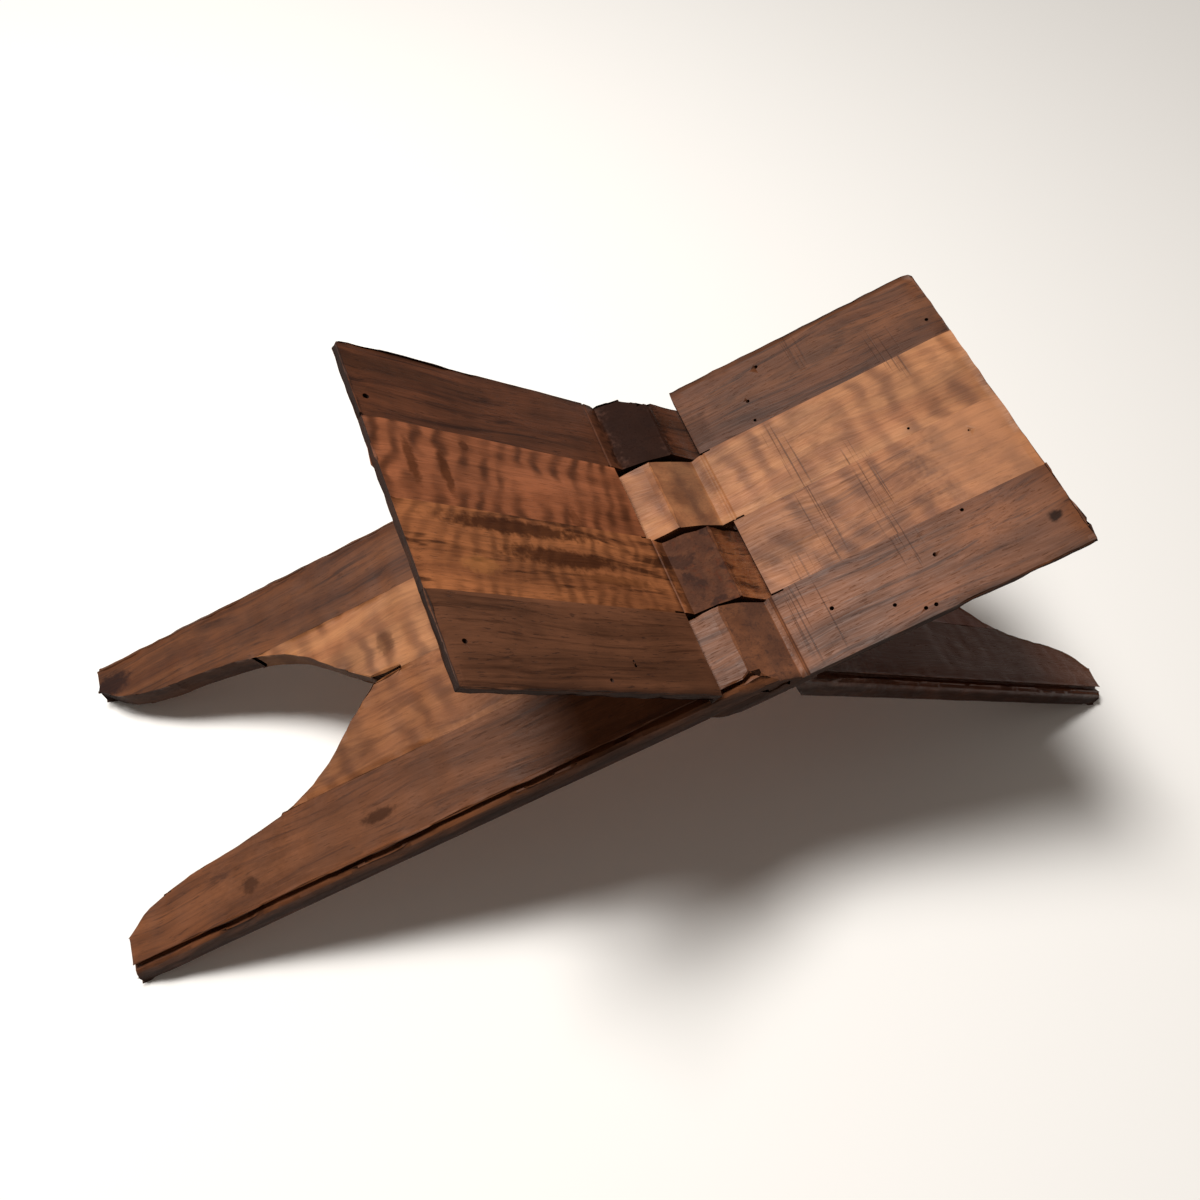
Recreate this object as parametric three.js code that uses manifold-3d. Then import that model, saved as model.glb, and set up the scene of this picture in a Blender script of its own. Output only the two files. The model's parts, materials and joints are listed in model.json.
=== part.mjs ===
// Folding book stand (rehal), one plank split from both ends into two boards that cross at a captured hinge.
// Millimetres, +Z up, standing open on the floor. The hinge axis runs along Y, x = 0 lies between the boards.
// Each board is glued up from four staves. Two of them run through the hinge and carry a full knuckle,
// the other two are each cut in two there, a leaf and a leg, to let the other board's knuckle through.
import * as THREE from "three";
import { mergeVertices } from "three/addons/utils/BufferGeometryUtils.js";
import Module from "manifold-3d";

// Driving dimensions
const STAVE_WIDTH = 45;
const STAVE_COUNT = 4;
const BOARD_WIDTH = STAVE_WIDTH * STAVE_COUNT;
const BOARD_SLOPE = THREE.MathUtils.degToRad(27.5);
const HINGE_HEIGHT = 150;
const LEAF_LENGTH = 165;
const LEAF_ROOT_THICKNESS = 8;
const LEAF_TIP_THICKNESS = 7;
const LEAF_EDGE_THICKNESS = 5;
const LEG_LENGTH = 326;
const LEG_TOE_LENGTH = 331;
const LEG_THICKNESS = 15;
const KNUCKLE_RADIUS = 15;
const SAW_KERF = 1;
const KNUCKLE_SAW_CUT = 1.4;
const GLUE_LINE = 0.3;
const STOP_GAP = 0.3;
const HINGE_REACH = 31;
const EDGE_BEVEL_WIDTH = 6;
const TIP_CHAMFER = 7;
const MITRE_NOSE_HEIGHT = 7.9;
const LEG_FREE_END = 28.6;
const SLIT_TIP = 156;
const SLIT_WIDTH = 1.6;
const GROOVE_STOP = 4;
const SCRIBE_DEPTH = 1;
const SCRIBE_WIDTH = 1.4;
const FACET_CROWN = 1;
const RELIEF_START = 25.5;
const RELIEF_END = 18;
const RELIEF_DEPTH = 5.4;
const HALF_KERF = SAW_KERF / 2;

// Each leaf was cut off by hand, so its length and its corner differ between the two long edges:
// first the +y edge, then the -y edge, in the board's own frame
const RIGHT_TIP = { lengths: [166, 164], corners: [5, 1.5] };
const LEFT_TIP = { lengths: [163.5, 171], corners: [1.5, 2.5] };

// One entry per stave of a board, counted across the board in its own frame
const RIGHT_BOARD = [
  { name: "right_stave1", through: false, freeEnd: 25.2, wood: "walnut_heart" },
  { name: "right_stave2", through: true, scribe: 27, toe: 19.5, wood: "walnut_figured" },
  { name: "right_stave3", through: false, freeEnd: 24.9, wood: "walnut_figured" },
  { name: "right_stave4", through: true, scribe: 24.4, toe: 20, wood: "walnut_heart" },
];
const LEFT_BOARD = [
  { name: "left_stave4", through: false, freeEnd: 24.6, wood: "walnut_heart" },
  { name: "left_stave3", through: true, scribe: 25, toe: 16.5, wood: "walnut_figured" },
  { name: "left_stave2", through: false, freeEnd: 27.4, wood: "walnut_figured" },
  { name: "left_stave1", through: true, scribe: 30, toe: 20.5, wood: "walnut_heart" },
];

const WOOD = {
  walnut_heart: { color: 0x6b4632, roughness: 0.5 },
  walnut_figured: { color: 0x9a6238, roughness: 0.46 },
};

const wasm = await Module();
wasm.setup();

function solidOf(geometry) {
  geometry.deleteAttribute("normal");
  geometry.deleteAttribute("uv");
  const merged = mergeVertices(geometry, 1e-4);
  return new wasm.Manifold(new wasm.Mesh({
    numProp: 3,
    vertProperties: new Float32Array(merged.attributes.position.array),
    triVerts: new Uint32Array(merged.index.array),
  }));
}

function meshOf(name, solid, wood) {
  const { vertProperties, triVerts } = solid.getMesh();
  const geometry = new THREE.BufferGeometry();
  geometry.setAttribute("position", new THREE.BufferAttribute(new Float32Array(vertProperties), 3));
  geometry.setIndex(new THREE.BufferAttribute(new Uint32Array(triVerts), 1));
  geometry.computeVertexNormals();
  const { color, roughness } = WOOD[wood];
  const mesh = new THREE.Mesh(geometry, new THREE.MeshStandardMaterial({ color, roughness, metalness: 0 }));
  mesh.name = name;
  return mesh;
}

// Outlines lie in two of the board's own axes: s along it from the hinge, y across it, n out of its face
function extrudeOutline(points, depth) {
  return new THREE.ExtrudeGeometry(new THREE.Shape(points), { depth, bevelEnabled: false });
}

// An outline in s and n, extruded across the board from yLow to yHigh
function acrossBoard(points, yLow, yHigh) {
  const geometry = extrudeOutline(points, yHigh - yLow);
  geometry.rotateX(Math.PI / 2);
  geometry.translate(0, yHigh, 0);
  return solidOf(geometry);
}

// An outline in s and y, extruded through the board
function throughBoard(points) {
  const geometry = extrudeOutline(points, 4 * LEG_THICKNESS);
  geometry.translate(0, 0, -2 * LEG_THICKNESS);
  return solidOf(geometry);
}

// An outline in y and n, extruded along the board from sLow to sHigh
function alongBoard(points, sLow, sHigh) {
  const geometry = extrudeOutline(points, sHigh - sLow);
  const turn = new THREE.Matrix4().makeBasis(
    new THREE.Vector3(0, 1, 0),
    new THREE.Vector3(0, 0, 1),
    new THREE.Vector3(1, 0, 0),
  );
  geometry.applyMatrix4(turn);
  geometry.translate(sLow, 0, 0);
  return solidOf(geometry);
}

function box(sLow, sHigh, yLow, yHigh, nLow, nHigh) {
  const geometry = new THREE.BoxGeometry(sHigh - sLow, yHigh - yLow, nHigh - nLow);
  geometry.translate((sLow + sHigh) / 2, (yLow + yHigh) / 2, (nLow + nHigh) / 2);
  return solidOf(geometry);
}

const at = (s, n) => new THREE.Vector2(s, n);

function arc(radius, fromDegrees, toDegrees, steps) {
  const points = [];
  for (let i = 0; i <= steps; i += 1) {
    const angle = THREE.MathUtils.degToRad(fromDegrees + (i / steps) * (toDegrees - fromDegrees));
    points.push(at(radius * Math.cos(angle), radius * Math.sin(angle)));
  }
  return points;
}

// Where the floor crosses the board, at height n out of its mid plane
function floorCrossing(n) {
  return -(HINGE_HEIGHT + n * Math.cos(BOARD_SLOPE)) / Math.sin(BOARD_SLOPE);
}

// The foot's end, cut a little back from the toe and planed flat where it stands on the floor
function footEnd() {
  const lean = (LEG_TOE_LENGTH - LEG_LENGTH) / (LEG_THICKNESS - HALF_KERF);
  const endAt = (n) => -LEG_TOE_LENGTH + (n - HALF_KERF) * lean;
  let low = HALF_KERF;
  let high = LEG_THICKNESS;
  for (let step = 0; step < 30; step += 1) {
    const middle = (low + high) / 2;
    if (endAt(middle) < floorCrossing(middle)) low = middle;
    else high = middle;
  }
  return [at(floorCrossing(HALF_KERF), HALF_KERF), at(endAt(low), low), at(-LEG_LENGTH, LEG_THICKNESS)];
}

function leafTip() {
  return [
    at(LEAF_LENGTH, -HALF_KERF),
    at(LEAF_LENGTH, -LEAF_EDGE_THICKNESS - HALF_KERF),
    at(LEAF_LENGTH - TIP_CHAMFER, -LEAF_TIP_THICKNESS),
  ];
}

// A through stave's side: leaf, knuckle, leg. The knuckle is round where it turns in the other board,
// and on top it is chiselled to one nearly flat facet that rises from the leaf to a ridge.
function throughSection(scribe, toe) {
  const ridge = at(0, LEG_THICKNESS);
  const foot = at(toe + 0.5, -HALF_KERF - 0.9);
  const slope = ridge.clone().sub(foot).normalize();
  const crown = foot.clone().lerp(ridge, 0.5).add(at(slope.y, -slope.x).multiplyScalar(FACET_CROWN));
  const leafSide = -THREE.MathUtils.radToDeg(Math.asin(LEAF_ROOT_THICKNESS / KNUCKLE_RADIUS));
  return [
    ...leafTip().reverse(),
    at(scribe, -HALF_KERF),
    at(scribe - SCRIBE_WIDTH / 2, -HALF_KERF - SCRIBE_DEPTH),
    at(scribe - SCRIBE_WIDTH, -HALF_KERF - 0.3),
    foot,
    crown,
    ridge,
    at(-1.5, LEG_THICKNESS),
    ...footEnd().reverse(),
    at(-RELIEF_START, HALF_KERF),
    at(-RELIEF_END, -RELIEF_DEPTH),
    ...arc(KNUCKLE_RADIUS, -154, leafSide, 11),
  ];
}

function leafSection(freeEnd) {
  return [...leafTip().reverse(), at(freeEnd, -HALF_KERF), at(freeEnd, -LEAF_ROOT_THICKNESS)];
}

// The leg's free end hugs the other board's knuckle. Its slanted shoulder meets that board's leaf as the stop.
function legSection() {
  const opening = 2 * BOARD_SLOPE;
  const shoulder = (n) => -(LEAF_ROOT_THICKNESS + STOP_GAP + n * Math.cos(opening)) / Math.sin(opening);
  return [
    ...footEnd().reverse(),
    at(-LEG_FREE_END, HALF_KERF),
    at(shoulder(MITRE_NOSE_HEIGHT), MITRE_NOSE_HEIGHT),
    at(shoulder(LEG_THICKNESS), LEG_THICKNESS),
  ];
}

// The keel arch between the feet, drawn out to a narrow slit at its point
function archCutter() {
  const half = new THREE.SplineCurve([
    at(-172, 1.9), at(-188, 15), at(-204, 30), at(-219, 39.5), at(-240, 46.5),
    at(-266, 51), at(-291, 54), at(-309, 59), at(-320, 65), at(-LEG_LENGTH, 70),
  ]).getPoints(26);
  const upper = [at(-SLIT_TIP, SLIT_WIDTH / 2), ...half, at(-LEG_TOE_LENGTH - 20, 72)];
  const lower = upper.map((point) => at(point.x, -point.y)).reverse();
  return throughBoard([...upper, ...lower]);
}

// What the moulding plane takes off a leg's long edge: a groove under the face and a bead below it.
// edge is +1 or -1, the side of the board, and face is +1 for the leg's own face, -1 under the knuckle.
function mouldingCutter(edge, face, sLow, sHigh) {
  const half = BOARD_WIDTH / 2;
  const bead = [
    at(0.8, 0), at(0, 2.5), at(0, 6.5), at(0.5, 9), at(2, 11.2), at(4, 12),
    at(7.6, 11.4), at(6.4, 13.4), at(5.6, 13.8), at(5.6, 20),
  ];
  const outline = [at(-5, 20), at(-5, 0), ...bead].map((p) => at(edge * (half - p.x), face * p.y));
  return alongBoard(outline, sLow, sHigh);
}

// The long edge of a leaf is bevelled on its back
function leafEdgeCutter(edge) {
  const half = BOARD_WIDTH / 2;
  const low = -LEAF_EDGE_THICKNESS - HALF_KERF;
  const outline = [at(-5, low), at(0, low), at(EDGE_BEVEL_WIDTH, -LEAF_ROOT_THICKNESS - 0.5), at(-5, -20)];
  return alongBoard(outline.map((p) => at(edge * (half - p.x), p.y)), KNUCKLE_RADIUS + 12, LEAF_LENGTH + 5);
}

function leafCornerCutter(edge, corner) {
  const half = BOARD_WIDTH / 2;
  return throughBoard([
    at(LEAF_LENGTH - corner, edge * half),
    at(LEAF_LENGTH - 0.3 * corner, edge * (half - 0.3 * corner)),
    at(LEAF_LENGTH, edge * (half - corner)),
    at(LEAF_LENGTH + 5, edge * (half - corner)),
    at(LEAF_LENGTH + 5, edge * (half + 5)),
    at(LEAF_LENGTH - corner, edge * (half + 5)),
  ]);
}

// The tip is sawn a little out of square: its end moves to each long edge's own length
function slantTip(solid, lengths) {
  const tipStart = LEAF_LENGTH - TIP_CHAMFER - 1;
  const middle = (lengths[0] + lengths[1]) / 2 - LEAF_LENGTH;
  const slant = (lengths[0] - lengths[1]) / BOARD_WIDTH;
  return solid.warp((point) => {
    if (point[0] > tipStart) point[0] += middle + slant * point[1];
  });
}

// A saw cut beside each knuckle frees it from its neighbour
function freeKnuckle(solid, yLow, yHigh) {
  let result = solid;
  for (const y of [yLow, yHigh]) {
    if (Math.abs(y) > BOARD_WIDTH / 2 - 1) continue;
    const cut = KNUCKLE_SAW_CUT / 2;
    result = result.subtract(box(-HINGE_REACH, HINGE_REACH, y - cut, y + cut, -30, 30));
  }
  return result;
}

function makeBoard(staves, tip) {
  const board = new THREE.Group();
  const arch = archCutter();
  staves.forEach((stave, index) => {
    const yHigh = BOARD_WIDTH / 2 - index * STAVE_WIDTH;
    const yLow = yHigh - STAVE_WIDTH;
    const low = yLow + (index < STAVE_COUNT - 1 ? GLUE_LINE / 2 : 0);
    const high = yHigh - (index > 0 ? GLUE_LINE / 2 : 0);
    const edge = index === 0 ? 1 : -1;
    const outer = index === 0 || index === STAVE_COUNT - 1;
    const corner = tip.corners[edge > 0 ? 0 : 1];
    const finishLeaf = (solid) => {
      const cutters = outer ? [leafEdgeCutter(edge), leafCornerCutter(edge, corner)] : [];
      const edged = cutters.reduce((rest, cutter) => rest.subtract(cutter), solid);
      return slantTip(edged, tip.lengths);
    };
    const finishLeg = (solid, moulded) => {
      const arched = solid.subtract(arch);
      return outer ? arched.subtract(mouldingCutter(edge, 1, -LEG_TOE_LENGTH - 20, moulded)) : arched;
    };
    if (stave.through) {
      let solid = acrossBoard(throughSection(stave.scribe, stave.toe), low, high);
      solid = freeKnuckle(finishLeg(finishLeaf(solid), GROOVE_STOP), yLow, yHigh);
      if (outer) {
        solid = solid.subtract(mouldingCutter(edge, -1, -HINGE_REACH, KNUCKLE_RADIUS - 1));
      }
      board.add(meshOf(`${stave.name}_through`, solid, stave.wood));
    } else {
      const leaf = finishLeaf(acrossBoard(leafSection(stave.freeEnd), low, high));
      board.add(meshOf(`${stave.name}_leaf`, leaf, stave.wood));
      const leg = finishLeg(acrossBoard(legSection(), low, high), 0);
      board.add(meshOf(`${stave.name}_leg`, leg, stave.wood));
    }
  });
  return board;
}

// The left board is the right one turned half round about the vertical
function standBoard(staves, tip, turn) {
  const board = makeBoard(staves, tip);
  board.rotation.y = -BOARD_SLOPE;
  const holder = new THREE.Group();
  holder.rotation.z = turn;
  holder.position.z = HINGE_HEIGHT;
  holder.add(board);
  return holder;
}

const bookStand = new THREE.Group();
bookStand.add(standBoard(RIGHT_BOARD, RIGHT_TIP, 0));
bookStand.add(standBoard(LEFT_BOARD, LEFT_TIP, Math.PI));

export default bookStand;
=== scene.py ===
import json
import math

import bmesh
import bpy
from mathutils import Matrix, Vector, noise


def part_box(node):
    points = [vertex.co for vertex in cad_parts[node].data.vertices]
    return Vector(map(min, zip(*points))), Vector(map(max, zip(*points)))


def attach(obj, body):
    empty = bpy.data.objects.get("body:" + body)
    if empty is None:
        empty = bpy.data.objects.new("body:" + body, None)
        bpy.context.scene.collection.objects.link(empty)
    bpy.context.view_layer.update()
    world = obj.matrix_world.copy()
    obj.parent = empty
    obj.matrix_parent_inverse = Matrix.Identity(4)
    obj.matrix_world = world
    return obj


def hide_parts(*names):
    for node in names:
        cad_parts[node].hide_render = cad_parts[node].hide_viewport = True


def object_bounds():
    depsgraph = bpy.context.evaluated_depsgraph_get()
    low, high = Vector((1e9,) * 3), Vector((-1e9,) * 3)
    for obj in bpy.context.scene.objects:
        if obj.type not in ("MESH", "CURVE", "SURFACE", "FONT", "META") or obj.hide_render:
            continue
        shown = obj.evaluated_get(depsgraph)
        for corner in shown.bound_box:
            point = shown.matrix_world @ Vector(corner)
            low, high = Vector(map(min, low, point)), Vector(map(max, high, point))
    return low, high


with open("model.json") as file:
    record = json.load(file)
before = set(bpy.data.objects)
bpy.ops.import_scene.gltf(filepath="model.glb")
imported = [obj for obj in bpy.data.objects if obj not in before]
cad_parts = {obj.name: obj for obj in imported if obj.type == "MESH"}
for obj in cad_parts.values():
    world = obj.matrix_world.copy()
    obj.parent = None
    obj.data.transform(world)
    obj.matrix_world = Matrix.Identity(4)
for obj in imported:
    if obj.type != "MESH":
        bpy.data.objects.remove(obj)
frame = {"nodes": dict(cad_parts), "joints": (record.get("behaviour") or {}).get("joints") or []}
cad_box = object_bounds()

# ------------------------------------------------------------------------------------------------
# The leaves of the split staves: four strips of oiled walnut, 45 mm wide and 8 mm thick, two on
# each board. Each is glued between its neighbours, sawn off square at the hinge, and bevelled by
# hand on its back at the tip and along the board's outer edge.
# ------------------------------------------------------------------------------------------------
MM = 0.001
BOARD_SLOPE = math.radians(27.5)
HINGE_PLACE = Vector(frame["joints"][0]["pos_m"])
STAVE_WIDTH = 45
OUTER_EDGE = 90
GLUE_GAP = 0.15
TURN = {"right": 0.0, "left": math.pi}
# places across are counted towards the back of the stand; this turns one into the board's own y
ACROSS = {"right": 1, "left": -1}


def standing(board):
    """From the board lying flat, with the hinge's axis at the origin, to its place in the stand."""
    return (
        Matrix.Translation(HINGE_PLACE)
        @ Matrix.Rotation(TURN[board], 4, "Z")
        @ Matrix.Rotation(-BOARD_SLOPE, 4, "Y")
        @ Matrix.Scale(MM, 4)
    )


def glue_line(y):
    """The place across of the glue line nearest to y, or None where the outer edge is nearer."""
    line = round(y / STAVE_WIDTH) * STAVE_WIDTH
    return line if abs(line) < OUTER_EDGE else None


def edit(piece):
    """Only this piece is selected, and it is opened for editing."""
    if bpy.context.mode != "OBJECT":
        bpy.ops.object.mode_set(mode="OBJECT")
    bpy.ops.object.select_all(action="DESELECT")
    bpy.context.view_layer.objects.active = piece
    piece.select_set(True)
    bpy.ops.object.mode_set(mode="EDIT")
    bpy.ops.mesh.select_all(action="SELECT")


FLAT_WITHIN = math.radians(0.4)
FACE_WITHIN = 0.02


def sawn_blank(node, name, board):
    """The stave as it leaves the saw, laid flat in millimetres, its facets whole."""
    source = frame["nodes"][node]
    piece = bpy.data.objects.new(name, source.data.copy())
    bpy.context.scene.collection.objects.link(piece)
    piece.data.materials.clear()
    piece.data.transform(standing(board).inverted())
    edit(piece)
    bpy.ops.mesh.remove_doubles(threshold=0.01)
    bpy.ops.mesh.dissolve_limited(angle_limit=FLAT_WITHIN)
    bpy.ops.object.mode_set(mode="OBJECT")
    # the glue line is pressed shut
    for v in piece.data.vertices:
        line = glue_line(v.co.y)
        if line is not None and abs(abs(v.co.y - line) - GLUE_GAP) < FACE_WITHIN:
            v.co.y = line
    return piece


WORN_EDGE = 0.5
SHARPER_THAN = math.radians(50)
SHORTEST_EASED = 12
BESIDE_GLUE = 0.8
UPRIGHT_SHARE = 0.7


def ease_edges(piece):
    """Rounds the long arrises that hands and the floor have rubbed, but none in a glue line."""
    edit(piece)
    bpy.ops.mesh.select_all(action="DESELECT")
    bpy.ops.mesh.select_mode(type="EDGE")
    mesh = bmesh.from_edit_mesh(piece.data)
    for e in mesh.edges:
        ends = [v.co for v in e.verts]
        lines = [glue_line(end.y) for end in ends]
        glued = all(
            line is not None and abs(end.y - line) < BESIDE_GLUE for end, line in zip(ends, lines)
        )
        sharp = e.is_manifold and e.calc_face_angle(0) > SHARPER_THAN
        upright = abs(ends[0].z - ends[1].z) > UPRIGHT_SHARE * e.calc_length()
        e.select = sharp and not glued and not upright and e.calc_length() > SHORTEST_EASED
    bmesh.update_edit_mesh(piece.data)
    bpy.ops.mesh.bevel(offset=WORN_EDGE, segments=2, affect="EDGES", clamp_overlap=True)
    bpy.ops.object.mode_set(mode="OBJECT")


NET_STEPS = (4, 4.1, 3.6)
OFF_THE_EDGES = 0.013


def lay_out_net(piece):
    """Cuts the faces into a net, fine enough to carry the unevenness of hand work."""
    low = [min(v.co[i] for v in piece.data.vertices) for i in range(3)]
    high = [max(v.co[i] for v in piece.data.vertices) for i in range(3)]
    edit(piece)
    for axis, step in enumerate(NET_STEPS):
        normal = [0, 0, 0]
        normal[axis] = 1
        first, last = math.ceil(low[axis] / step), math.floor(high[axis] / step)
        for i in range(first, last + 1):
            bpy.ops.mesh.select_all(action="SELECT")
            spot = [0, 0, 0]
            spot[axis] = i * step + OFF_THE_EDGES
            bpy.ops.mesh.bisect(plane_co=spot, plane_no=normal)
    bpy.ops.object.mode_set(mode="OBJECT")


BORE_LENGTH = 7
BORE_MIDDLE = -1.5
BORE_TILT = 0.25


def drill(piece, holes, board):
    """Round holes that insects have bored: place along and across the board, and width."""
    if not holes:
        return
    cutters = []
    for s, y, width in holes:
        bpy.ops.object.select_all(action="DESELECT")
        bpy.ops.mesh.primitive_cylinder_add(
            vertices=12, radius=width / 2, depth=BORE_LENGTH,
            location=(s, ACROSS[board] * y, BORE_MIDDLE),
            rotation=(BORE_TILT * math.sin(s), BORE_TILT * math.cos(y), 0),
        )
        cutters.append(bpy.context.object)
    for c in cutters:
        c.select_set(True)
    bpy.context.view_layer.objects.active = cutters[0]
    if len(cutters) > 1:
        bpy.ops.object.join()
    cutter = bpy.context.object
    cut = piece.modifiers.new("insect holes", "BOOLEAN")
    cut.object = cutter
    cut.operation = "DIFFERENCE"
    cut.solver = "EXACT"
    bpy.ops.object.select_all(action="DESELECT")
    bpy.context.view_layer.objects.active = piece
    piece.select_set(True)
    bpy.ops.object.modifier_apply(modifier=cut.name)
    bpy.data.objects.remove(cutter)


BOARDS_APART = 700
ON_GLUE = 0.1


def wear(piece, hollow, depth, board, where=None):
    """Takes up to depth mm off the surface, unevenly, in hollows about as wide as hollow."""
    apart = Vector((0, BOARDS_APART * TURN[board], 0))
    normals = [v.normal.copy() for v in piece.data.vertices]
    for v, normal in zip(piece.data.vertices, normals):
        line = glue_line(v.co.y)
        if line is not None and abs(v.co.y - line) < ON_GLUE:
            # planed after glueing: both sides of a glue line are cut down together
            normal.y = 0
            normal.normalize()
        cut = 0.5 + 0.5 * noise.noise((v.co + apart) / hollow)
        share = 1.0 if where is None else where(v.co)
        v.co -= normal * depth * share * min(max(cut, 0), 1)


SOLE_HEIGHT = 0.2 * MM
WARP_HOLLOW, WARP_DEPTH = 30, 0.5
PLANE_HOLLOW, PLANE_DEPTH = 8, 0.14
KNIFE_HOLLOW, KNIFE_DEPTH = 8, 2.0
SMOOTH_UNDER = math.radians(24)


def stand_up(piece, board, node, material, hand_cut):
    """Gives the stave its uneven hand-made surface, stands it in its board, and fixes it there."""
    stood = standing(board)
    # the soles stay flat on the floor
    soles = [v for v in piece.data.vertices if (stood @ v.co).z < SOLE_HEIGHT]
    soles = [(v.index, v.co.copy()) for v in soles]
    wear(piece, WARP_HOLLOW, WARP_DEPTH, board)
    wear(piece, PLANE_HOLLOW, PLANE_DEPTH, board)
    wear(piece, KNIFE_HOLLOW, KNIFE_DEPTH, board, hand_cut)
    for i, place in soles:
        piece.data.vertices[i].co = place
    piece.data.transform(stood)
    low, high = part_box(node)
    # across the board the staves meet in their glue lines, so only its outer edges bound them
    low.y, high.y = cad_box[0].y, cad_box[1].y
    for v in piece.data.vertices:
        v.co = [min(max(c, a), b) for c, a, b in zip(v.co, low, high)]
    bpy.ops.object.select_all(action="DESELECT")
    bpy.context.view_layer.objects.active = piece
    piece.select_set(True)
    bpy.ops.object.shade_smooth_by_angle(angle=SMOOTH_UNDER)
    piece.data.materials.append(material)
    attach(piece, f"{board}_board")
    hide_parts(node)


def linear(code):
    """An sRGB hex colour as the linear colour that a shader takes."""
    parts = [int(code[i : i + 2], 16) / 255 for i in (1, 3, 5)]
    return [c / 12.92 if c <= 0.04045 else ((c + 0.055) / 1.055) ** 2.4 for c in parts] + [1]


def add(tree, kind, inputs, out=0, **settings):
    """Adds one node: its settings, then each input's value or the output that feeds it."""
    node = tree.nodes.new("ShaderNode" + kind)
    for key, value in settings.items():
        setattr(node, key, value)
    for key, value in inputs.items():
        if isinstance(value, bpy.types.NodeSocket):
            tree.links.new(value, node.inputs[key])
        else:
            node.inputs[key].default_value = value
    return node.outputs[out]


# Walnut, sawn and hand-planed, oiled to a satin. Heartwood staves are dark brown with straight dark
# streaks and open pores. Figured staves are honey-coloured with a curl: dark ripples across the
# grain. Each stave is one strip, so its leaf and its leg share a pattern that runs along the board.
SATIN = 0.48
SHEEN = 0.25
STRIP_APART = (97.0, 31.0, 17.0)
GRAIN_PUSH = (14, 16, 16)
CURL_PUSH = 20
FIBRE_RELIEF = 0.00012


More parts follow.
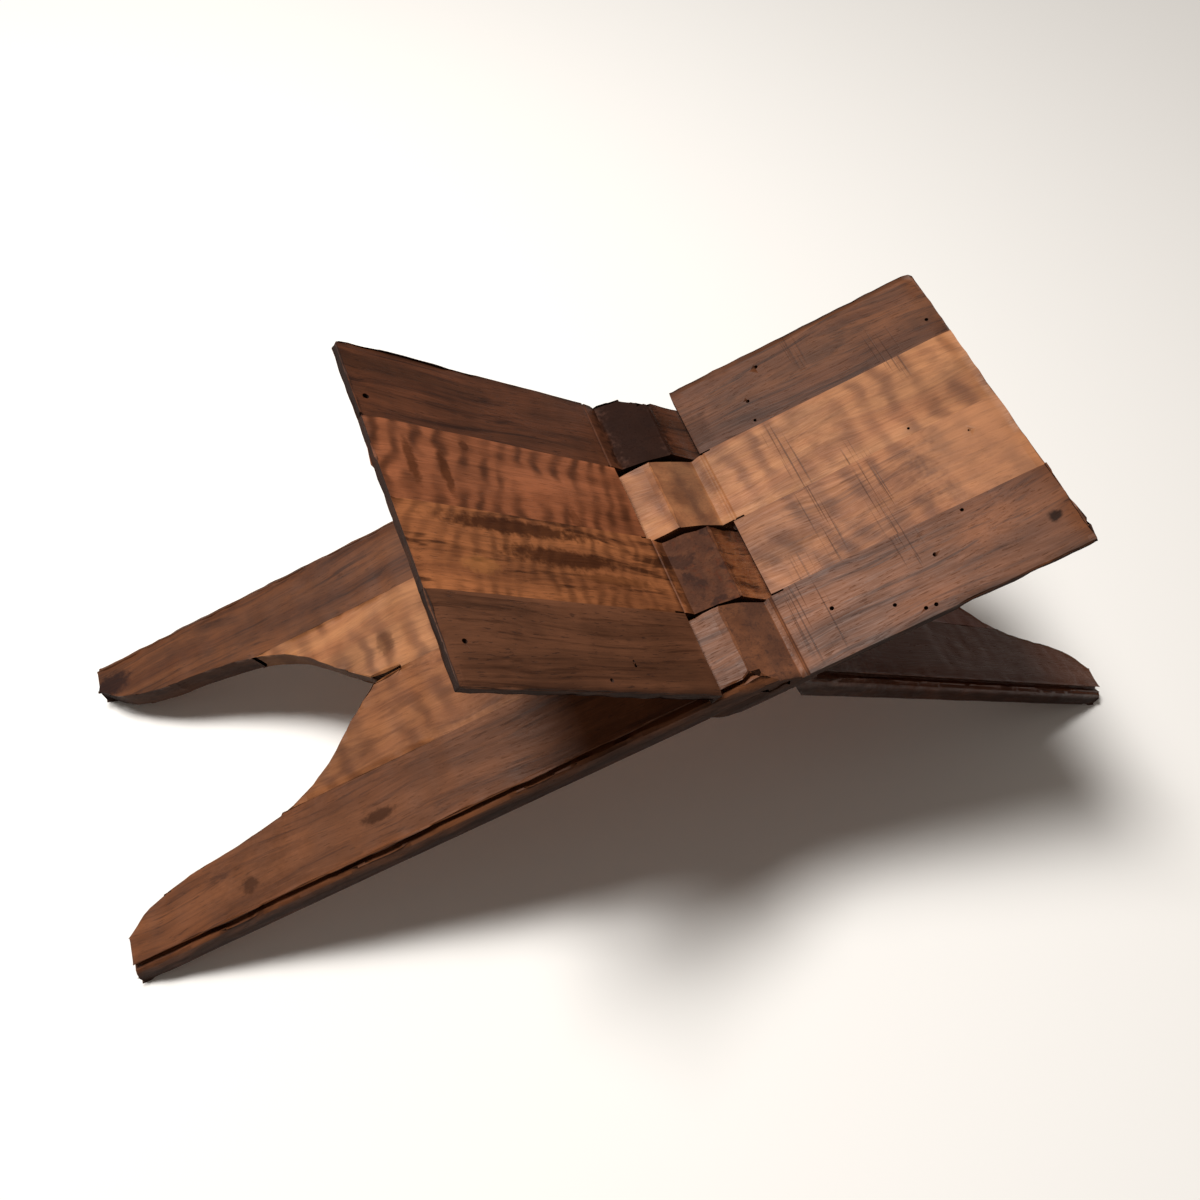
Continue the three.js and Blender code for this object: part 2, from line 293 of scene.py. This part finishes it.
def walnut(name, board, light, middle, dark, seed, streaks, curl, curl_length, flame, pores,
           lean=0.1, marks=(), saw=()):
    material = bpy.data.materials.new(name)
    material.use_nodes = True
    tree = material.node_tree
    tree.nodes.clear()
    turn = (0, -BOARD_SLOPE, TURN[board])
    object_place = add(tree, "TexCoord", {}, "Object")
    place = add(tree, "Mapping", {0: object_place, 1: HINGE_PLACE, 2: turn, 3: (MM, MM, MM)},
                vector_type="TEXTURE")
    facing = add(tree, "Mapping", {0: add(tree, "TexCoord", {}, "Normal"), 2: turn},
                 vector_type="TEXTURE")
    along_facing = add(tree, "SeparateXYZ", {0: facing}, "X")
    end_grain = add(tree, "MapRange", {0: add(tree, "Math", {0: along_facing}, operation="ABSOLUTE"),
                                       1: 0.3, 2: 0.85}, interpolation_type="SMOOTHSTEP")
    face_on = add(tree, "SeparateXYZ", {0: facing}, "Z")
    # walls that face sideways: made rougher further down, and darkened there as painted shade
    cut_wall = add(tree, "MapRange", {0: add(tree, "Math", {0: face_on}, operation="ABSOLUTE"),
                                      1: 0.6, 2: 0.15}, interpolation_type="SMOOTHSTEP")
    y_place = add(tree, "SeparateXYZ", {0: place}, "Y")
    n_place = add(tree, "SeparateXYZ", {0: place}, "Z")
    strip = add(tree, "VectorMath", {0: place, 1: [seed * far for far in STRIP_APART]},
                operation="ADD")
    # the tree's own slow waver pushes the grain a few millimetres sideways
    slow = add(tree, "VectorMath", {0: strip, 1: (0.012, 0.03, 0.03)}, operation="MULTIPLY")
    waver = add(tree, "TexNoise", {"Vector": slow, "Scale": 1, "Detail": 1}, "Color")
    push = add(tree, "VectorMath", {0: waver, 1: (0.5, 0.5, 0.5)}, operation="SUBTRACT")
    push = add(tree, "VectorMath", {0: push, 1: GRAIN_PUSH}, operation="MULTIPLY")
    grown = add(tree, "VectorMath", {0: strip, 1: push}, operation="ADD")

    def pattern(length, width, detail, low, high, rough=0.55, place=grown):
        """Marks about length mm long and width mm across: 0 below low and 1 above high."""
        size = (1 / length, 1 / width, 1 / width)
        scaled = add(tree, "VectorMath", {0: place, 1: size}, operation="MULTIPLY")
        value = add(tree, "TexNoise", {"Vector": scaled, "Scale": 1, "Detail": detail,
                                       "Roughness": rough})
        return add(tree, "MapRange", {0: value, 1: low, 2: high}, interpolation_type="SMOOTHSTEP")

    def times(a, b):
        return add(tree, "Math", {0: a, 1: b}, operation="MULTIPLY")

    def tint(colour, factor, other, way="MIX"):
        return add(tree, "Mix", {0: factor, 6: colour, 7: other}, 2, data_type="RGBA", blend_type=way)

    # year rings cut lengthwise: broad bands, then the narrow dark lines between them
    bands = pattern(150, 11, 3, 0.36, 0.66)
    colour = tint(linear(light), bands, linear(middle))
    lines = times(pattern(110, 3.2, 5, 0.5, 0.68, 0.65), streaks)
    colour = tint(colour, lines, linear(dark))
    # flame: wide dark tongues along the grain
    tongues = times(pattern(55, 9, 4, 0.52, 0.62, 0.6), flame)
    colour = tint(colour, tongues, linear(dark))
    # curl: the fibres ripple, and the ripples show as wavy dark bars across the grain, in patches
    rippled = add(tree, "VectorMath", {0: strip, 1: (0.035, 0.05, 0.03)}, operation="MULTIPLY")
    sway = add(tree, "TexNoise", {"Vector": rippled, "Scale": 1, "Detail": 2})
    drawn = add(tree, "VectorMath", {0: strip, 1: (1, lean, 0.2)}, "Value", operation="DOT_PRODUCT")
    phase = add(tree, "Math", {0: drawn, 1: times(sway, CURL_PUSH)}, operation="ADD")
    wave = add(tree, "Math", {0: times(phase, 2 * math.pi / curl_length)}, operation="SINE")
    bars = add(tree, "MapRange", {0: wave, 1: -0.8, 2: 1.3}, interpolation_type="SMOOTHSTEP")
    patches = pattern(28, 22, 2, 0.32, 0.64)
    bars = times(times(bars, patches), curl)
    colour = tint(colour, bars, linear(dark))
    glow = add(tree, "MapRange", {0: wave, 1: -0.3, 2: -1.0}, interpolation_type="SMOOTHSTEP")
    colour = tint(colour, times(glow, 0.3 * curl), linear(light))
    # cloudy darker and lighter areas where the oil went in
    clouds = pattern(40, 26, 3, 0.3, 0.72)
    colour = tint(colour, 1.0, add(tree, "MapRange", {0: clouds, 3: 0.78, 4: 1.14}), "MULTIPLY")
    # fibres are finer than shows, so they are drawn at 0.9 mm
    fibres = pattern(26, 0.9, 3, 0.25, 0.75, 0.7)
    colour = tint(colour, 1.0, add(tree, "MapRange", {0: fibres, 3: 0.84, 4: 1.1}), "MULTIPLY")
    # open pores and ray flecks: dark dashes 5 mm long
    dashes = times(pattern(6.5, 0.75, 2, 0.62, 0.7, 0.5), pores)
    colour = tint(colour, times(dashes, 0.7), linear("#24130c"))
    # saw marks: fine dark lines across the leaf's face, where the teeth dug in, in patches that
    # are given by place along and across the board, reach both ways, and strength
    scratch = None
    for s, y, reach_s, reach_y, strength in saw:
        near = add(tree, "VectorMath", {0: place, 1: (s, ACROSS[board] * y, 0)}, operation="SUBTRACT")
        near = add(tree, "VectorMath", {0: near, 1: (1 / reach_s, 1 / reach_y, 0.1)},
                   operation="MULTIPLY")
        near = add(tree, "VectorMath", {0: near}, "Value", operation="LENGTH")
        near = add(tree, "MapRange", {0: near, 1: 1.0, 2: 0.55, 3: 0, 4: strength},
                   interpolation_type="SMOOTHSTEP")
        scratch = near if scratch is None else add(tree, "Math", {0: scratch, 1: near},
                                                   operation="MAXIMUM")
    if scratch is not None:
        lines = times(pattern(1.15, 70, 1.5, 0.55, 0.64, 0.6, place=strip), 0.75)
        on_face = add(tree, "Math", {0: n_place, 1: -1.6}, operation="GREATER_THAN")
        scratch = times(times(scratch, lines), on_face)
        colour = tint(colour, scratch, linear("#2c170e"))
    # bare end grain is greyer than the oiled face
    colour = tint(colour, times(end_grain, 0.45), linear("#4a3a36"))
    # knots, stains, darker patches and painted shade, given as the saw marks are and then their
    # colour; each mark dulls the oil
    sheen = SHEEN
    for s, y, reach_s, reach_y, strength, code in marks:
        near = add(tree, "VectorMath", {0: place, 1: (s, ACROSS[board] * y, 0)}, operation="SUBTRACT")
        near = add(tree, "VectorMath", {0: near, 1: (1 / reach_s, 1 / reach_y, 0)},
                   operation="MULTIPLY")
        near = add(tree, "VectorMath", {0: near}, "Value", operation="LENGTH")
        ragged = add(tree, "TexNoise", {"Vector": place, "Scale": 0.35, "Detail": 3})
        near = add(tree, "Math", {0: near, 1: times(ragged, 0.9)}, operation="ADD")
        near = add(tree, "MapRange", {0: near, 1: 1.45, 2: 0.9, 3: 0, 4: strength},
                   interpolation_type="SMOOTHSTEP")
        colour = tint(colour, near, linear(code))
        sheen = times(add(tree, "MapRange", {0: near, 3: 1.0, 4: 0.3}), sheen)
    # handled edges and cut ends have taken up dirt, and every sideways-facing wall is darkened as
    # painted shade
    edge = add(tree, "MapRange", {0: add(tree, "Math", {0: y_place}, operation="ABSOLUTE"),
                                  1: 85, 2: 90.3}, interpolation_type="SMOOTHSTEP")
    edge = times(edge, pattern(20, 6, 3, 0.2, 0.6))
    colour = tint(colour, times(edge, 0.8), linear("#24140d"))
    at_tip = add(tree, "MapRange", {0: add(tree, "SeparateXYZ", {0: place}, "X"), 1: 152, 2: 158})
    sawn_tip = times(end_grain, at_tip)
    colour = tint(colour, times(sawn_tip, 0.7), linear("#1a0f0b"))
    # painted shade: all sideways-facing walls (long sides, bead, arch, ends) are darkened as if out
    # of the light
    colour = tint(colour, times(cut_wall, 0.62), linear("#1c100b"))
    rough = add(tree, "MapRange", {0: fibres, 3: SATIN + 0.1, 4: SATIN - 0.06})
    rough = add(tree, "Math", {0: rough, 1: times(dashes, 0.2)}, operation="ADD")
    raw = add(tree, "Math", {0: end_grain, 1: cut_wall}, operation="MAXIMUM")
    rough = add(tree, "Math", {0: rough, 1: times(raw, 0.35)}, operation="ADD", use_clamp=True)
    relief = add(tree, "Math", {0: times(fibres, 0.35), 1: times(dashes, 0.9)}, operation="SUBTRACT")
    if scratch is not None:
        relief = add(tree, "Math", {0: relief, 1: scratch}, operation="SUBTRACT")
    bump = add(tree, "Bump", {"Strength": 0.8, "Distance": FIBRE_RELIEF, "Height": relief})
    shader = add(tree, "BsdfPrincipled", {"Base Color": colour, "Roughness": rough, "IOR": 1.45,
                                          "Specular IOR Level": sheen, "Normal": bump})
    end = tree.nodes.new("ShaderNodeOutputMaterial")
    tree.links.new(shader, end.inputs["Surface"])
    return material


HEART = "walnut_heart"
FIGURED = "walnut_figured"
KNOT = "#22140e"
wood = {
    "right_stave1": walnut(
        "oiled walnut heartwood, right stave 1", "right", "#633a20", "#4f2b16", "#2b150b", 3,
        streaks=0.75, curl=0.1, curl_length=9, flame=0.35, pores=0.55,
        saw=[(133, 56, 9, 18, 0.8), (93, 78, 6, 18, 0.6)],
        marks=[(-318, 71, 16, 9, 0.75, "#1a1215"), (30, 60, 10, 14, 0.4, "#2e1b14")],
    ),
    "right_stave2": walnut(
        "oiled curly walnut, right stave 2", "right", "#a06c45", "#8f5a37", "#5f361d", 7,
        streaks=0.35, curl=0.75, curl_length=14, flame=0.2, pores=0.2, lean=0.15,
        saw=[(133, 48, 9, 22, 0.7), (62, 15, 9, 34, 0.85), (92, -4, 9, 22, 0.8)],
        marks=[(155, -4, 3, 2.5, 0.7, KNOT),
               (-160, 17, 6, 9, 0.5, "#3a2015")],
    ),
    "right_stave3": walnut(
        "oiled curly walnut, right stave 3", "right", "#95603b", "#845131", "#512c18", 12,
        streaks=0.6, curl=0.65, curl_length=15, flame=0.5, pores=0.3, lean=0.4,
        saw=[(92, -30, 9, 36, 0.9), (62, -18, 9, 34, 0.85), (45, -40, 10, 12, 0.5)],
        marks=[(40, -25, 26, 9, 0.35, "#4a2a1a"), (150, -22, 45, 60, 0.3, "#bb8560"),
               (-190, -22, 150, 40, 0.35, "#5a3318")],
    ),
    "right_stave4": walnut(
        "oiled walnut heartwood, right stave 4", "right", "#76472a", "#5f361d", "#351a0d", 18,
        streaks=0.7, curl=0.05, curl_length=9, flame=0.25, pores=0.5,
        saw=[(38, -66, 14, 30, 0.9), (91, -50, 9, 18, 0.8)],
        marks=[(154, -71, 4.4, 3.6, 0.95, KNOT), (-187, -68, 12, 4, 0.85, "#2a1710"),
               (-258, -72, 6, 5, 0.7, "#2a1913"),
               (-150, -68, 150, 40, 0.3, "#472813")],
    ),
    "left_stave1": walnut(
        "oiled walnut heartwood, left stave 1", "left", "#5a3320", "#472818", "#26120b", 23,
        streaks=0.85, curl=0.1, curl_length=9, flame=0.3, pores=0.8,
        # painted shade: the knuckle at the hinge, deep in the V between the leaves, is darkened over
        # its whole width
        marks=[(9, 68, 19, 70, 0.88, "#1e0f0a")],
    ),
    "left_stave2": walnut(
        "oiled curly walnut, left stave 2", "left", "#96593a", "#814a2e", "#40200f", 29,
        streaks=0.3, curl=0.85, curl_length=11, flame=0.2, pores=0.35, lean=-0.3,
        marks=[(151, 22, 3.5, 17, 0.7, "#42210f"), (135, 20, 3.5, 17, 0.75, "#42210f"),
               (120, 38, 3, 4, 0.6, "#3a1d10"), (70, 4, 4, 8, 0.5, "#42210f")],
    ),
    "left_stave3": walnut(
        "oiled curly walnut, left stave 3", "left", "#9c603a", "#7b492c", "#40210f", 34,
        streaks=0.5, curl=0.5, curl_length=8, flame=0.95, pores=0.5, lean=-0.3,
        marks=[(108, -7, 50, 6, 0.85, "#351a0e"), (88, -21, 42, 7, 0.8, "#351a0e"),
               (60, -30, 30, 4, 0.5, "#40220f"), (134, -30, 12, 6, 0.3, "#b87a45"),
               # painted shade: the knuckle at the hinge, in the recess under the other leaf's edge,
               # is darkened over its whole width
               (9, -22, 17, 70, 0.6, "#2c1812"),
               # painted shade: the whole leg, in the shade of the other board's leaf, is darkened and
               # made redder like warm light bounced off the wood
               (-190, -22, 200, 70, 0.8, "#6a3018")],
    ),
    "left_stave4": walnut(
        "oiled walnut heartwood, left stave 4", "left", "#6a432e", "#543423", "#321a0e", 41,
        streaks=0.7, curl=0.05, curl_length=9, flame=0.15, pores=0.8,
        # painted shade: the whole leg, in the shade of the other board's leaf, is darkened and made
        # redder like warm light bounced off the wood
        marks=[(-190, -68, 200, 70, 0.8, "#562a12")],
    ),
}


TIP_START, TIP_END = 157, 162
FACE_SKIN = 1.5
# how much of KNIFE_DEPTH each cut may take
TIP_CUT, TIP_FACE_CUT, EDGE_CUT = 0.55, 0.15, 0.6


def leaf_hand_cut(co):
    """How roughly each place was cut: the sawn tip and the outer long edge most."""
    tip = TIP_CUT if co.x > TIP_START else 0.0
    edge = EDGE_CUT if abs(co.y) > OUTER_EDGE - 1 else 0.0
    on_face = co.z >= -FACE_SKIN and co.x <= TIP_END
    return max(TIP_FACE_CUT * tip if on_face else tip, edge)


# board, stave, slot, and the insect holes as place along, place across and width
SPLIT_LEAVES = [
    ("right", "stave1", HEART, [(60, 61, 1.6), (58.5, 48.6, 1.3), (72.5, 78.5, 1.7),
                                (158, 57, 1.5)]),
    ("right", "stave3", FIGURED, [(144, -12, 1.1)]),
    ("left", "stave2", FIGURED, []),
    ("left", "stave4", HEART, [(154, -69, 2.0), (88, -84, 1.6), (71, -74, 1.0), (71, -75.2, 1.0),
                               (71, -76.4, 1.0)]),
]
for board, stave, slot, holes in SPLIT_LEAVES:
    node = f"{board}_{stave}_leaf"
    piece = sawn_blank(node, f"{board}_{stave}_walnut_leaf", board)
    ease_edges(piece)
    lay_out_net(piece)
    drill(piece, holes, board)
    stand_up(piece, board, node, wood[f"{board}_{stave}"], leaf_hand_cut)

# ------------------------------------------------------------------------------------------------
# The legs of the split staves: four strips of the same walnut, 15 mm thick, two on each board. The
# keel arch is cut through them with a knife and a rasp, and the outer ones carry the planed bead.
# Each ends at the hinge in a mitred nose that bears on the other board's leaf when the stand is open.
# ------------------------------------------------------------------------------------------------
BEAD_INNER_EDGE = 80
ARCH_CROWN, ARCH_FOOT = 150, 76
ARCH_FACE_SKIN = 1.0
FOOT_START = 316
BEAD_CUT, ARCH_CUT, ARCH_FACE_CUT, FOOT_CUT = 0.6, 0.45, 0.6, 0.5


def leg_hand_cut(co):
    """The bead, the arch's wall and the foot's end were cut by eye, so they waver."""
    bead = BEAD_CUT if abs(co.y) > BEAD_INNER_EDGE and co.z > FACE_SKIN else 0.0
    arch = ARCH_CUT if co.x < -ARCH_CROWN and abs(co.y) < ARCH_FOOT else 0.0
    foot = FOOT_CUT if co.x < -FOOT_START else 0.0
    return max(bead, arch if co.z > ARCH_FACE_SKIN else ARCH_FACE_CUT * arch, foot)


SPLIT_LEGS = [
    ("right", "stave1", HEART),
    ("right", "stave3", FIGURED),
    ("left", "stave2", FIGURED),
    ("left", "stave4", HEART),
]
for board, stave, slot in SPLIT_LEGS:
    node = f"{board}_{stave}_leg"
    piece = sawn_blank(node, f"{board}_{stave}_walnut_leg", board)
    ease_edges(piece)
    lay_out_net(piece)
    stand_up(piece, board, node, wood[f"{board}_{stave}"], leg_hand_cut)

# ------------------------------------------------------------------------------------------------
# The through staves: four strips that pass the hinge, two on each board. Leaf, round knuckle and leg
# are one piece of wood. The knuckle is carved with a chisel inside a notch of the other board, so
# that its top shows flat facets and a ridge, and a scribed line stops it at the leaf.
# ------------------------------------------------------------------------------------------------
KNUCKLE_REACH, KNUCKLE_FOOT = 22, -2
KNUCKLE_CUT = 0.5
LEG_START = 24
PLAIN_LEAF = 100


def through_hand_cut(co):
    """The knuckle's facets are chiselled; beyond them come the leaf's and the leg's own cuts."""
    if co.x > PLAIN_LEAF:
        return leaf_hand_cut(co)
    knuckle = KNUCKLE_CUT if abs(co.x) < KNUCKLE_REACH and co.z > KNUCKLE_FOOT else 0.0
    return max(knuckle, leg_hand_cut(co) if co.x < -LEG_START else 0.0)


RUN_OUT_LENGTH = 13
RUN_OUT_HEIGHT = 7


def rub_run_out(piece):
    """The sharp corner that the bead leaves where it runs out on the knuckle is rubbed off."""
    for v in piece.data.vertices:
        if 0 < v.co.x < RUN_OUT_LENGTH and v.co.z > RUN_OUT_HEIGHT:
            reach = OUTER_EDGE - (v.co.z - RUN_OUT_HEIGHT)
            v.co.y = min(max(v.co.y, -reach), reach)


THROUGH_STAVES = [
    ("right", "stave2", FIGURED, [(121, 4, 1.0)]),
    ("right", "stave4", HEART, [(99.5, -63, 1.8), (121, -48, 1.3), (47, -65, 1.6), (72.5, -77, 1.5),
                                (84, -84.5, 1.6), (88.7, -85, 1.5)]),
    ("left", "stave1", HEART, [(163, 57, 1.4)]),
    ("left", "stave3", FIGURED, []),
]
for board, stave, slot, holes in THROUGH_STAVES:
    node = f"{board}_{stave}_through"
    piece = sawn_blank(node, f"{board}_{stave}_walnut_through", board)
    ease_edges(piece)
    lay_out_net(piece)
    rub_run_out(piece)
    drill(piece, holes, board)
    stand_up(piece, board, node, wood[f"{board}_{stave}"], through_hand_cut)

# ------------------------------------------------------------------------------------------------
# The floor, the light and the camera: a pale matt floor, a small soft box close by, high on the
# left and a little behind, and a broad weaker lamp far off on the same side.
# ------------------------------------------------------------------------------------------------
FLOOR_SIZE = 12
bpy.ops.object.select_all(action="DESELECT")
bpy.ops.mesh.primitive_plane_add(size=FLOOR_SIZE, location=(0, 0, 0))
floor = bpy.context.object
floor.name = "pale floor"
paint = bpy.data.materials.new("matt white floor paint")
paint.use_nodes = True
painted = paint.node_tree.nodes["Principled BSDF"]
painted.inputs["Base Color"].default_value = linear("#fafaf9")
painted.inputs["Roughness"].default_value = 0.9
floor.data.materials.append(paint)

KEY_PLACE = Vector((-0.55, 0.40, 1.35))
KEY_AIM = Vector((0.02, 0, 0.12))
soft_box = bpy.data.lights.new("key", "AREA")
soft_box.shape = "SQUARE"
soft_box.size = 0.36
soft_box.energy = 17
soft_box.color = (1.0, 0.96, 0.91)
key = bpy.data.objects.new("key", soft_box)
key.location = KEY_PLACE
key.rotation_euler = (KEY_PLACE - KEY_AIM).to_track_quat("Z", "Y").to_euler()
bpy.context.scene.collection.objects.link(key)

FAR_FROM = Vector((-0.58, 0.34, 1))
far_lamp = bpy.data.lights.new("far lamp", "SUN")
far_lamp.energy = 1.35
far_lamp.angle = math.radians(14)
far_lamp.color = (1.0, 0.97, 0.93)
far = bpy.data.objects.new("far lamp", far_lamp)
far.rotation_euler = FAR_FROM.to_track_quat("Z", "Y").to_euler()
bpy.context.scene.collection.objects.link(far)

room = bpy.data.worlds.new("room")
room.use_nodes = True
room.node_tree.nodes["Background"].inputs["Color"].default_value = (1, 0.87, 0.76, 1)
room.node_tree.nodes["Background"].inputs["Strength"].default_value = 0.15
bpy.context.scene.world = room

# The camera looks down from the front left, and is held a little askew.
CAMERA_PLACE = (-0.2084, -0.2655, 0.5575)
LOOK_AZIMUTH = math.radians(-32.24)
LOOK_ELEVATION = math.radians(54.73)
CAMERA_ROLL = math.radians(15.09)
back = Vector((
    math.sin(LOOK_AZIMUTH) * math.cos(LOOK_ELEVATION),
    -math.cos(LOOK_AZIMUTH) * math.cos(LOOK_ELEVATION),
    math.sin(LOOK_ELEVATION),
))
right = (-back).cross(Vector((0, 0, 1))).normalized()
up = right.cross(-back)
rolled_right = right * math.cos(CAMERA_ROLL) + up * math.sin(CAMERA_ROLL)
rolled_up = up * math.cos(CAMERA_ROLL) - right * math.sin(CAMERA_ROLL)
lens = bpy.data.cameras.new("camera")
lens.sensor_width = 36
lens.lens = 31.735
lens.clip_start = 0.01
camera = bpy.data.objects.new("camera", lens)
turned = Matrix((rolled_right, rolled_up, back)).transposed().to_4x4()
camera.matrix_world = Matrix.Translation(CAMERA_PLACE) @ turned
bpy.context.scene.collection.objects.link(camera)
bpy.context.scene.camera = camera
bpy.context.scene.view_settings.view_transform = "Standard"
